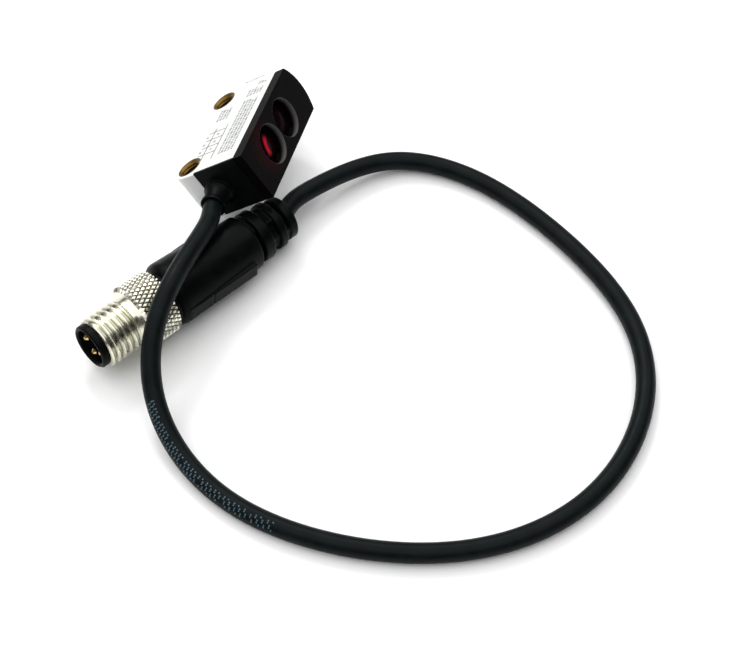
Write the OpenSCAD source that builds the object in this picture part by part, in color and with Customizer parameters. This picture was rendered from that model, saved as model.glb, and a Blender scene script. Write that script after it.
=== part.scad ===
// Miniature diffuse photoelectric sensor with a short cable and a round M8 plug.
// The housing lies on its rear lower edge, rolled and tilted as it leans on the plug's
// bend relief, and the cable crosses the plug, loops round on the table and enters the
// plug from behind. +Z is up from the table and +Y runs along the housing.

/* [Housing] */
// Length of the housing from the cable end to the far end, at its side faces
housing_len = 21.2; // [20.8:0.1:22]
// Depth of the housing from its rear face to its front face
housing_depth = 13.4; // [13.2:0.1:14]
// Thickness of the housing between its two side faces
housing_thick = 8.2; // [8:0.1:8.6]
// Rise of the arched far end above its two edges
arch_rise = 1.2; // [0.8:0.1:1.4]
// Wall of the moulded shell
wall = 1.0; // [0.9:0.05:1.1]
// Radius of the two rear corners
corner_r = 2.5; // [2:0.1:2.8]

/* [Mounting inserts] */
// Outer diameter of a brass insert
insert_d = 4.0; // [3.8:0.1:4.2]
// Bore of a brass insert, which carries an M3 thread
insert_bore = 2.5; // [2.4:0.1:2.8]
// Distance of an insert's axis from the rear face and from the nearer end
insert_edge = 2.5; // [2.5:0.1:2.7]

/* [Front and optics] */
// Thickness of the black front cover, seen as a strip along the side face
cover_t = 1.7; // [1.5:0.1:1.9]
// Diameter of a lens opening in the front cover
lens_hole_d = 6.1; // [5.8:0.05:6.15]
// Distance between the two lens openings
lens_pitch = 6.3; // [6.25:0.05:6.5]
// Distance from the cable end to the middle of the two openings
lens_mid = 10.85; // [10.6:0.05:11]
// Height of a lens dome above its plate
dome_h = 0.8; // [0.5:0.1:1]

/* [Cable end] */
// Distance from the rear face to the edge of the black end cap
cap_edge = 4.2; // [4.1:0.1:4.4]
// Distance from the rear face to the cable's axis
cable_axis = 6.4; // [6.3:0.1:6.6]
// Length of the cable nipple outside the end cap
nipple_len = 2.6; // [2.2:0.1:3]
// Diameter of the nipple's collar
nipple_d = 4.2; // [4:0.1:4.3]

/* [Cable] */
// Diameter of the cable's jacket
cable_d = 2.8; // [2.6:0.1:2.9]
// Diameter of one insulated inner wire
wire_d = 0.7; // [0.6:0.05:0.75]

/* [Plug] */
// Outer diameter of the M8 thread, kept plain here
thread_d = 7.8; // [7.7:0.05:8]
// Diameter of the knurled grip of the coupling screw
knurl_d = 9.8; // [9.4:0.1:9.8]
// Number of knobs round the knurled grip
knurl_count = 32; // [24:1:40]
// Width of the moulded boot at its collar; the boot rests on its tapered underside
boot_d = 9.9; // [9.8:0.1:10.2]
// Outer diameter of the contact carrier
carrier_d = 6.7; // [6.5:0.05:6.8]
// Diameter of a contact pin
pin_d = 1.0; // [0.9:0.05:1.05]
// Radius of the circle that the contact pins stand on
pin_circle = 1.65; // [1.55:0.05:1.7]
// Whole length of the plug from the carrier's face to the end of the bend relief
plug_len = 36.2; // [35.9:0.1:36.6]

/* [Resting pose] */
// Roll of the housing about its long axis
roll = 36; // [34:0.5:37]
// Tilt of the housing, cable end up
tilt = 8; // [7.5:0.5:9]
// Direction of the plug's axis on the table, from its face to its cable
plug_turn = 58.5; // [58:0.1:59]
// Roll of the plug about its axis, its far side up
plug_roll = 5; // [0:1:10]

/* [Hidden] */
$fn = 64;
eps = 0.05;

white_shell = "whitesmoke";
black_cover = "#17181a";
black_cap = "#1b1c1e";
satin_black = "#242628";
brass = "#b8923e";
lens_red = "#5a1218";
holder_black = "#101113";
board_green = "#1f5a3a";
chip_grey = "#2c2e31";
led_clear = "#e6e2d6";
capacitor_tan = "#a98c62";
wire_brown = "#6b4226";
wire_blue = "#2458a6";
cable_black = "#202225";
nickel = "#c9c8c2";
gold = "#d8b04a";

// Housing, seen from its rear lower corner at the cable end: x is depth, y is length,
// z is thickness, with the plain mounting side at z = 0.
full_len = housing_len + arch_rise;
arch_r = (pow(housing_thick / 2, 2) + pow(arch_rise, 2)) / (2 * arch_rise);
arch_mid = full_len - arch_r;
mid_z = housing_thick / 2;
front_x = housing_depth - cover_t;
insert_y = [insert_edge, housing_len - insert_edge];
boss_wall = 0.4;
boss_r = insert_d / 2 + boss_wall;
rear_wall = 1.1;
lens_y = [lens_mid - lens_pitch / 2, lens_mid + lens_pitch / 2];

// Front cover, its skirt and the optics behind it
skirt_depth = 0.8;
skirt_t = 0.5;
skirt_y = 2.5;
plate_t = 0.8;
plate_gap = 0.2;
plate_play = 0.1;
dome_r = 2.9;
holder_depth = 3.5;
channel_front_r = 2.6;
channel_rear_r = 0.9;
board_t = 0.8;
optics_w = housing_thick - 2 * (wall + plate_gap);
optics_len = 12.9;
plate_x = front_x - plate_t;
holder_x = plate_x - holder_depth;
board_x = holder_x - board_t;
board_far_y = 20;
board_near_y = 4.6;
led_size = 1.0;
led_h = 0.5;
status_led_y = 18.7;

// Circuit board between the two insert bosses
main_z = 3.0;
main_t = 0.6;
main_y = [5.4, 15.8];
main_edge_x = rear_wall + 0.3;
chip_size = 3;
chip_h = 0.8;
chip_at = [2.2, 9];
capacitor = [0.8, 1.6, 0.8];
capacitor_at = [4.2, 13.4];

// End cap, nipple and the wires that come through them
flange_t = 0.4;
spigot_x = boss_r + insert_edge + eps;
spigot_len = 1.8;
wire_hole_d = 2.2;
wire_ring_r = 0.5;
wire_turn_y = [0, 1.2, 2.4];
pad_x = [4.9, 3.9, 5.8];
pad_y = [5.4, 6.6];
nipple_lip_d = nipple_d + 0.3;
nipple_lip_len = 0.8;
nipple_mouth_d = cable_d + 0.2;
nipple_mouth_depth = 0.8;
nipple_root = 0.15;
nipple_bevel = 0.2;
pad_gap = 0.04;

// Plug, along its own axis from the face of the contact carrier
screw_front = 1.15;
thread_end = 6.6;
thread_chamfer = 0.4;
neck_end = 7.5;
neck_r = 3.5;
grip_chamfer = 0.5;
grip_end_bevel = 0.2;
knurl_depth = 0.25;
knurl_tip_r = knurl_d / 2 + 0.2;
knurl_groove = [8.75, 9.75, 10.75, 11.75];
knurl_groove_half = 0.28;
screw_end = 12.6;
running_gap = 0.05;
carrier_lip_end = 1.05;
carrier_stem_r = 3.05;
carrier_end = 17;
cavity_r = 2.7;
cavity_depth = 5.2;
rim_bevel = 0.25;
key_w = 0.6;
key_start = 1;
key_angle = 180;
pin_tip = 0.5;
pin_tail = 18.4;
pin_angle = [90, 0, -90];
boot_start = 12.7;
collar_r = 4.3;
collar_shoulder = 13.4;
collar_end = 14.4;
grip_notch = [18.4, 18.7];
grip_end = 26.8;
boot_end = 28.9;
boot_end_r = 4.3;
boot_end_bevel = 0.4;
solder_space_r = 2.4;
solder_space_end = 19.5;
grip_recess = 0.25;
rib_reach = 4.85;
rib_half = 1.3;
rib_start = 14.2;
rib_corner_r = 1;
ring_start = [29.5, 32.7, 34.75];
ring_end = [31.3, 33.95, plug_len];
ring_r = [4.0, 3.75, 3.4];
relief_core_r = [3.2, 3.0];
core_slot_r = 2.4;
core_rib_w = 2.4;
core_rib_end = 34.9;
boot_mouth_r = cable_d / 2 + 0.35;
boot_mouth_floor_r = cable_d / 2 + 0.1;
boot_mouth_depth = 1.2;

// Where the housing's corner and the plug's face lie in the frame. The housing rests
// on the round of its rear far corner, so that corner sets its height.
corner_drop = corner_r * norm([sin(roll) * cos(tilt), sin(tilt)])
    - sin(roll) * cos(tilt) * corner_r + sin(tilt) * (full_len - corner_r);
sensor_at = [-3.01, -10.96, corner_drop];
plug_pitch = atan((boot_d / 2 - boot_end_r) / (boot_end - collar_end));
plug_at = [-10.55, -38.53, collar_end * sin(plug_pitch) + boot_d / 2 * cos(plug_pitch)];
plug_heading = [cos(plug_turn) * cos(plug_pitch), sin(plug_turn) * cos(plug_pitch), -sin(plug_pitch)];

// The cable's route: points that pull the curve from the nipple to the plug, by hand,
// with two rings of the tube for each of them
lie = cable_d / 2 + eps;
curve_steps = 2;
ROUTE = [
    [0.6, -16.8, 10.9], [-0.4, -25, 12.4], [-1.4, -34.5, 12.4], [-1.1, -41.8, 6.1],
    [4.8, -49.4, lie], [16.4, -56.6, lie], [33.5, -58, lie], [50.2, -53.6, lie],
    [62.3, -42.6, lie], [66.8, -26.8, lie], [63, -11.5, lie], [49.8, 0.8, lie],
    [34.9, 9.5, lie], [22.7, 10.5, 1.7], [15.9, 5.5, 2.7], [11.4, -0.5, 3.7],
    [8.5, -4.7, 4.1]
];

function on_sensor_point(p) =
    let (x1 = p.x * cos(roll) - p.z * sin(roll), z1 = p.x * sin(roll) + p.z * cos(roll))
    sensor_at + [x1, p.y * cos(tilt) + z1 * sin(tilt), z1 * cos(tilt) - p.y * sin(tilt)];

function on_plug_point(s) = plug_at + s * plug_heading;

module on_sensor() {
    translate(sensor_at) rotate([-tilt, 0, 0]) rotate([0, -roll, 0]) children();
}

module on_plug() {
    translate(plug_at) rotate([0, 0, plug_turn]) rotate([0, 90 + plug_pitch, 0])
        rotate([0, 0, plug_roll]) children();
}

// Extrudes a shape drawn in length and thickness along the housing's depth
module along_depth(x0, x1) {
    translate([x0, 0, 0]) rotate([90, 0, 90]) linear_extrude(x1 - x0) children();
}

// Outline of the side face: round rear corners and a square front
module side_outline() {
    translate([corner_r, 0]) square([housing_depth - corner_r, full_len]);
    translate([0, corner_r]) square([corner_r, full_len - 2 * corner_r]);
    for (y = [corner_r, full_len - corner_r])
        translate([corner_r, y]) circle(corner_r);
}

// Outline across the housing, with the arched far end, drawn in by a margin
module arch_outline(margin, y0) {
    translate([y0, margin]) square([arch_mid - y0, housing_thick - 2 * margin]);
    intersection() {
        translate([y0, margin]) square([full_len - y0, housing_thick - 2 * margin]);
        translate([arch_mid, mid_z]) circle(arch_r - margin);
    }
}

// A slice of the outer form between two depths
module outer_form(x0, x1) {
    intersection() {
        linear_extrude(housing_thick) side_outline();
        along_depth(x0, x1) arch_outline(0, 0);
    }
}

// The material round the insert at the cable end, filled out into the corner
module insert_boss() {
    translate([insert_edge, insert_edge, 0]) cylinder(r = boss_r, h = housing_thick);
    translate([0, -arch_rise, 0]) cube([insert_edge + boss_r, insert_edge + arch_rise, housing_thick]);
    cube([insert_edge, insert_edge + boss_r, housing_thick]);
}

module housing() {
    color(white_shell) on_sensor() difference() {
        outer_form(0, front_x);
        difference() {
            along_depth(rear_wall, front_x + eps) arch_outline(wall, wall);
            insert_boss();
            translate([0, housing_len, 0]) mirror([0, 1, 0]) insert_boss();
        }
        translate([spigot_x, -eps, wall])
            cube([front_x - spigot_x + eps, wall + 2 * eps, housing_thick - 2 * wall]);
        translate([cap_edge, -eps, -eps])
            cube([front_x - cap_edge + eps, flange_t + eps, housing_thick + 2 * eps]);
        for (y = insert_y)
            translate([insert_edge, y, -eps]) cylinder(d = insert_d, h = housing_thick + 2 * eps);
    }
}

module front_cover() {
    color(black_cover) on_sensor() difference() {
        union() {
            outer_form(front_x, housing_depth);
            along_depth(front_x - skirt_depth, front_x) arch_outline(wall, skirt_y);
        }
        along_depth(front_x - skirt_depth - eps, front_x)
            arch_outline(wall + skirt_t, skirt_y + skirt_t);
        for (y = lens_y)
            translate([front_x - eps, y, mid_z]) rotate([0, 90, 0])
                cylinder(d = lens_hole_d, h = cover_t + 2 * eps);
    }
}

module end_cap() {
    color(black_cap) on_sensor() difference() {
        union() {
            translate([cap_edge, 0, 0]) cube([front_x - cap_edge, flange_t, housing_thick]);
            translate([spigot_x, 0, wall])
                cube([front_x - skirt_depth - spigot_x, flange_t + spigot_len, housing_thick - 2 * wall]);
        }
        translate([cable_axis, -eps, mid_z]) rotate([-90, 0, 0])
            cylinder(d = wire_hole_d, h = flange_t + spigot_len + 2 * eps);
    }
}

module threaded_insert(y) {
    chamfer = 0.55;
    color(brass) on_sensor() translate([insert_edge, y, 0]) rotate_extrude() polygon([
        [insert_bore / 2 + chamfer, 0], [insert_d / 2, 0],
        [insert_d / 2, housing_thick], [insert_bore / 2 + chamfer, housing_thick],
        [insert_bore / 2, housing_thick - chamfer], [insert_bore / 2, chamfer]
    ]);
}

module near_insert() { threaded_insert(insert_y[0]); }

module far_insert() { threaded_insert(insert_y[1]); }

// Two domed lenses on one tinted plate behind the front cover
module lens_plate() {
    margin = wall + skirt_t + plate_play;
    ball_r = (pow(dome_r, 2) + pow(dome_h, 2)) / (2 * dome_h);
    edge_angle = asin(dome_r / ball_r);
    color(lens_red) on_sensor() {
        translate([plate_x, lens_mid - optics_len / 2, margin])
            cube([plate_t, optics_len, housing_thick - 2 * margin]);
        for (y = lens_y) translate([front_x - eps, y, mid_z]) rotate([0, 90, 0])
            rotate_extrude() polygon(concat([[0, 0], [dome_r, 0]],
                [for (k = [4 : -1 : 0]) let (a = edge_angle * k / 4)
                    [ball_r * sin(a), eps + dome_h - ball_r * (1 - cos(a))]]));
    }
}

// Black block with one light channel for the emitter and one for the receiver
module optics_holder() {
    color(holder_black) on_sensor() difference() {
        translate([holder_x, lens_mid - optics_len / 2, mid_z - optics_w / 2])
            cube([holder_depth, optics_len, optics_w]);
        for (y = lens_y)
            translate([holder_x - eps, y, mid_z]) rotate([0, 90, 0])
                cylinder(r1 = channel_rear_r, r2 = channel_front_r, h = holder_depth + 2 * eps);
    }
}

module optics_board() {
    color(board_green) on_sensor()
        translate([board_x, board_near_y, mid_z - optics_w / 2])
            cube([board_t, board_far_y - board_near_y, optics_w]);
}

// A square part on the front of the optics board
module board_part(y, size, height) {
    on_sensor() translate([holder_x, y - size / 2, mid_z - size / 2]) cube([height, size, size]);
}

module emitter_led() { color(led_clear) board_part(lens_y[0], led_size, led_h); }

module receiver_chip() { color(chip_grey) board_part(lens_y[1], led_size + 0.1, led_h); }

module status_led() { color(led_clear) board_part(status_led_y, led_size, led_h + 0.2); }

module main_board() {
    color(board_green) on_sensor() translate([main_edge_x, main_y[0], main_z])
        cube([board_x - main_edge_x, main_y[1] - main_y[0], main_t]);
}

module signal_chip() {
    color(chip_grey) on_sensor() translate([chip_at.x, chip_at.y, main_z + main_t])
        cube([chip_size, chip_size, chip_h]);
}

module supply_capacitor() {
    color(capacitor_tan) on_sensor() translate([capacitor_at.x, capacitor_at.y, main_z + main_t])
        cube(capacitor);
}

// A wire from the nipple through the end cap to its pad on the main board
module inner_wire(index) {
    angle = 90 + 120 * index;
    hole_x = cable_axis + wire_ring_r * cos(angle);
    hole_z = mid_z + wire_ring_r * sin(angle);
    pad_z = main_z + main_t + wire_d / 2 + pad_gap;
    points = concat([for (y = wire_turn_y) [hole_x, y, hole_z]], [for (y = pad_y) [pad_x[index], y, pad_z]]);
    on_sensor() tube(spline(points, curve_steps), wire_d);
}

module brown_wire() { color(wire_brown) inner_wire(2); }

module blue_wire() { color(wire_blue) inner_wire(0); }

module black_wire() { color(cable_black) inner_wire(1); }

module cable_nipple() {
    nipple_r = nipple_d / 2;
    lip_r = nipple_lip_d / 2;
    color(satin_black) on_sensor() translate([cable_axis, 0, mid_z]) rotate([90, 0, 0])
        rotate_extrude() polygon([
            [0, 0], [nipple_r, 0], [nipple_r, nipple_len - nipple_lip_len - nipple_root],
            [lip_r, nipple_len - nipple_lip_len], [lip_r, nipple_len - nipple_bevel],
            [lip_r - nipple_bevel, nipple_len], [nipple_mouth_d / 2, nipple_len],
            [nipple_mouth_d / 2, nipple_len - nipple_mouth_depth], [0, nipple_len - nipple_mouth_depth]
        ]);
}

// The curve that a cubic spline draws through a list of pulling points, with its ends
// held on the first and the last of them
function held(points) =
    let (last = len(points) - 1)
    concat([2 * points[0] - points[1]], points, [2 * points[last] - points[last - 1]]);

function spline_point(q, i, u) =
    (pow(1 - u, 3) * q[i] + (3 * pow(u, 3) - 6 * pow(u, 2) + 4) * q[i + 1]
    + (3 * u + 3 * pow(u, 2) - 3 * pow(u, 3) + 1) * q[i + 2] + pow(u, 3) * q[i + 3]) / 6;

function spline(points, steps) =
    let (q = held(points), spans = len(points) - 1)
    concat([for (i = [0 : spans - 1]) for (k = [0 : steps - 1]) spline_point(q, i, k / steps)],
        [points[spans]]);

function unit(v) = v / norm(v);

function heading(path, i) =
    unit(path[min(i + 1, len(path) - 1)] - path[max(i - 1, 0)]);

// A round tube with eight sides along a path: one ring of points square to each heading
module tube(path, diameter) {
    sides = 8;
    rings = len(path);
    points = [for (i = [0 : rings - 1])
        let (t = heading(path, i), a = unit(cross(t, [0, 0, 1])), b = cross(t, a))
        for (k = [0 : sides - 1])
            path[i] + diameter / 2 * (a * cos(360 * k / sides) + b * sin(360 * k / sides))];
    side_faces = [for (i = [0 : rings - 2]) for (k = [0 : sides - 1])
        let (n = (k + 1) % sides)
        [i * sides + k, (i + 1) * sides + k, (i + 1) * sides + n, i * sides + n]];
    first_cap = [for (k = [0 : sides - 1]) k];
    last_cap = [for (k = [sides - 1 : -1 : 0]) (rings - 1) * sides + k];
    polyhedron(points, concat([first_cap], side_faces, [last_cap]), convexity = 6);
}

cable_start = on_sensor_point([cable_axis, nipple_mouth_depth - nipple_len, mid_z]);
cable_first = on_sensor_point([cable_axis, -nipple_len - 2, mid_z]);
cable_last = on_plug_point(plug_len + 2 * eps);
cable_end = on_plug_point(plug_len - boot_mouth_depth);

module cable() {
    path = spline(concat([cable_start, cable_first], ROUTE, [cable_last, cable_end]), curve_steps);
    color(cable_black) tube(path, cable_d);
}

// A ring of revolution about the plug's axis, from an outline of radius and length
module turned(outline) {
    rotate_extrude() polygon(outline);
}

module bar_across(half_x, half_y, z0, z1) {
    translate([-half_x, -half_y, z0]) cube([2 * half_x, 2 * half_y, z1 - z0]);
}

// The black insulator: a cup for the pins in front, whose lip keeps the screw on, and
// a stem behind
module contact_carrier() {
    r = carrier_d / 2;
    color(satin_black) on_plug() {
        difference() {
            turned([
                [0, cavity_depth], [cavity_r, cavity_depth], [cavity_r, rim_bevel],
                [cavity_r + rim_bevel, 0], [r - rim_bevel, 0], [r, rim_bevel],
                [r, carrier_lip_end], [carrier_stem_r, carrier_lip_end],
                [carrier_stem_r, carrier_end], [0, carrier_end]
            ]);
            for (angle = pin_angle) pin_place(angle) cylinder(d = pin_d, h = carrier_end + eps);
        }
        rotate([0, 0, key_angle]) translate([cavity_r - key_w, -key_w / 2, key_start])
            cube([key_w + 2 * eps, key_w, cavity_depth - key_start + eps]);
    }
}

module pin_place(angle) {
    rotate([0, 0, angle]) translate([pin_circle, 0, 0]) children();
}

module contact_pin(angle) {
    r = pin_d / 2;
    tip = 0.3;
    color(gold) on_plug() pin_place(angle) turned([
        [0, pin_tip], [r - tip, pin_tip], [r, pin_tip + tip], [r, pin_tail], [0, pin_tail]
    ]);
}

module contact_pin_1() { contact_pin(pin_angle[0]); }

module contact_pin_4() { contact_pin(pin_angle[1]); }

module contact_pin_3() { contact_pin(pin_angle[2]); }

// The nickel-plated screw that turns freely on the carrier's stem, between its lip and
// the boot
module coupling_screw() {
    bore_r = carrier_stem_r + running_gap;
    color(nickel) on_plug() difference() {
        union() {
            threaded_part();
            knurled_grip();
        }
        translate([0, 0, screw_front - eps]) cylinder(r = bore_r, h = screw_end - screw_front + 2 * eps);
    }
}

// The front of the screw: the thread at its outer diameter, and a plain neck
module threaded_part() {
    thread_r = thread_d / 2;
    turned([
        [0, screw_front], [thread_r - thread_chamfer, screw_front],
        [thread_r, screw_front + thread_chamfer], [thread_r, thread_end], [neck_r, thread_end],
        [neck_r, neck_end + grip_chamfer], [0, neck_end + grip_chamfer]
    ]);
}

// The grip: a band with a V groove between its rows of knobs, in the outline of a star
module knurled_grip() {
    grip_r = knurl_d / 2;
    intersection() {
        turned(concat(
            [[0, neck_end], [grip_r - grip_chamfer, neck_end], [grip_r, neck_end + grip_chamfer]],
            [for (s = knurl_groove, corner = [[0, -1], [knurl_depth, 0], [0, 1]])
                [grip_r - corner.x, s + corner.y * knurl_groove_half]],
            [[grip_r, screw_end - grip_end_bevel], [grip_r - grip_end_bevel, screw_end], [0, screw_end]]));
        translate([0, 0, neck_end]) linear_extrude(screw_end - neck_end)
            polygon([for (k = [0 : 2 * knurl_count - 1])
                let (r = k % 2 == 0 ? knurl_tip_r : grip_r - knurl_depth, angle = 180 * k / knurl_count)
                [r * cos(angle), r * sin(angle)]]);
    }
}

// The moulded boot: a tapered round body with a flat-faced, notched rib down each side,
// and behind it the three rings of the bend relief on a slotted core
module plug_boot() {
    boot_r = boot_d / 2;
    color(black_cap) on_plug() difference() {
        union() {
            turned(concat(
                [[0, boot_start], [collar_r, boot_start]],
                [for (a = [0 : 15 : 90]) [
                    collar_r + (boot_r - collar_r) * sin(a),
                    collar_shoulder + (collar_end - collar_shoulder) * (1 - cos(a))]],
                [[boot_end_r, boot_end - boot_end_bevel], [boot_end_r - boot_end_bevel, boot_end],
                    [0, boot_end]]));
            grip_ribs();
            bend_relief();
        }
        translate([0, 0, boot_start - eps])
            cylinder(r = carrier_stem_r, h = carrier_end - boot_start + eps);
        translate([0, 0, carrier_end - eps])
            cylinder(r = solder_space_r, h = solder_space_end - carrier_end + eps);
        translate([0, 0, plug_len - boot_mouth_depth])
            cylinder(r1 = boot_mouth_floor_r, r2 = boot_mouth_r, h = boot_mouth_depth + eps);
    }
}

// One bar right through the boot, seen as a flat-faced rib with a notch on each side
module grip_ribs() {
    edge = rib_reach - rib_corner_r;
    rotate([0, -90, 0]) linear_extrude(2 * rib_half, center = true) difference() {
        union() {
            translate([rib_start, -edge]) square([grip_end - rib_start, 2 * edge]);
            translate([rib_start + rib_corner_r, -rib_reach])
                square([grip_end - rib_start - 2 * rib_corner_r, 2 * rib_reach]);
            for (s = [rib_start + rib_corner_r, grip_end - rib_corner_r], side = [-1, 1])
                translate([s, side * edge]) circle(rib_corner_r);
        }
        for (side = [-1, 1])
            translate([grip_notch[0], side * rib_reach - grip_recess])
                square([grip_notch[1] - grip_notch[0], 2 * grip_recess]);
    }
}

module bend_relief() {
    for (i = [0 : 2])
        translate([0, 0, ring_start[i]]) cylinder(r = ring_r[i], h = ring_end[i] - ring_start[i]);
    translate([0, 0, boot_end - eps]) cylinder(r = core_slot_r, h = plug_len - boot_end);
    intersection() {
        translate([0, 0, boot_end - eps])
            cylinder(r1 = relief_core_r[0], r2 = relief_core_r[1], h = plug_len - boot_end);
        union() {
            bar_across(relief_core_r[0], core_rib_w / 2, boot_end - eps, ring_start[1]);
            bar_across(core_rib_w / 2, relief_core_r[0], ring_end[0], core_rib_end);
        }
    }
}

housing();
front_cover();
end_cap();
near_insert();
far_insert();
lens_plate();
optics_holder();
optics_board();
emitter_led();
receiver_chip();
status_led();
main_board();
signal_chip();
supply_capacitor();
brown_wire();
blue_wire();
black_wire();
cable_nipple();
cable();
plug_boot();
contact_carrier();
coupling_screw();
contact_pin_1();
contact_pin_3();
contact_pin_4();
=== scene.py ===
"""Dress for a miniature diffuse photoelectric sensor with a short cable and a round screw plug.

Sizes are millimetres in each sub-assembly's own axes. On the housing x is its depth from rear
to front, y its length from the cable end and z its thickness. On the plug z runs along the
plug from the face of its contacts and x points down. A Place turns both into the frame.
"""
import logging
import math
from dataclasses import dataclass, field
from enum import Enum
from itertools import accumulate, cycle, islice
from typing import Callable, Iterable, Sequence

import bmesh
import bpy
from mathutils import Matrix, Vector


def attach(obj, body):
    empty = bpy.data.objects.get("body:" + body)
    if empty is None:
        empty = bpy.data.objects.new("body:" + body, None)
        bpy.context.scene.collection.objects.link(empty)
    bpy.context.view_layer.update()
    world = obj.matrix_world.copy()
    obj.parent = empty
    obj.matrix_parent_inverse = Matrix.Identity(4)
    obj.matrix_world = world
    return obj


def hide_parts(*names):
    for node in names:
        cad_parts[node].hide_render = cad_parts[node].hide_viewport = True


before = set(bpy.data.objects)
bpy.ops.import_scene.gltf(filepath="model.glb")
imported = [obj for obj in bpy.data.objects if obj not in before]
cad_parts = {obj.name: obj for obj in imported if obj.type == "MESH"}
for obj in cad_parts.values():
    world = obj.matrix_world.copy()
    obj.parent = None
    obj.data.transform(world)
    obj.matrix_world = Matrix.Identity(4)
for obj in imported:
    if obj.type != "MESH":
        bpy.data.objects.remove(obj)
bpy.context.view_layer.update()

MM = 0.001
log = logging.getLogger("sensor")

Pair = tuple[float, float]
Point = tuple[float, float, float]
Colour = tuple[float, float, float]
Outline = Sequence[Pair]
Socket = bpy.types.NodeSocket
Value = Socket | float | Colour
Piece = bpy.types.Object

UNMOVED = Matrix.Identity(4)
MERGE_COPY = 0.002
MERGE_TURNED = 0.0005
MERGE_HELIX = 0.001
CUT_SNAP = 0.0005
RIM_SNAP = 0.005
NEAR = 0.01
FLAT_ANGLE = math.radians(1)
EDGE_FACES = 3

MIX_A, MIX_B, MIX_RESULT = 6, 7, 2
LENS_Y, LENS_Z = (7.7, 14.0), 4.1
NIPPLE_X, NIPPLE_Z = 6.4, 4.1

NOISE_SPAN = (0.3, 0.7)
PATCH_SPAN = (0.35, 0.65)
CLOUD_SPAN = (0.35, 0.7)


class Body(Enum):
    """The two bodies that pieces ride on."""

    SENSOR = "sensor_and_cable"
    SCREW = "coupling_screw"


@dataclass(frozen=True)
class Place:
    """Where a sub-assembly's own axes lie in the frame."""

    name: str
    origin: Point
    turns: tuple[tuple[str, float], ...] = ()

    def turn(self) -> Matrix:
        """Work out the rotation from the sub-assembly's axes to the frame's.

        Returns:
            The rotation.
        """
        turned = UNMOVED
        for axis, degrees in self.turns:
            turned = turned @ Matrix.Rotation(math.radians(degrees), 4, axis)
        return turned

    def matrix(self) -> Matrix:
        """Return the matrix that takes millimetres here to metres in the frame."""
        return Matrix.Translation(Vector(self.origin) * MM) @ self.turn() @ Matrix.Scale(MM, 4)

    def point(self, x: float, y: float, z: float) -> Vector:
        """Return a point of the sub-assembly in the frame, in metres."""
        return self.matrix() @ Vector((x, y, z))


ON_HOUSING = Place("housing", (-3.01, -10.96, 2.81056), (("X", -8), ("Y", -36)))
ON_PLUG = Place("plug", (-10.55, -38.53, 5.5899), (("Z", 58.5), ("Y", 92.56671), ("Z", 5)))
ON_TABLE = Place("table", (0, 0, 0))


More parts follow.
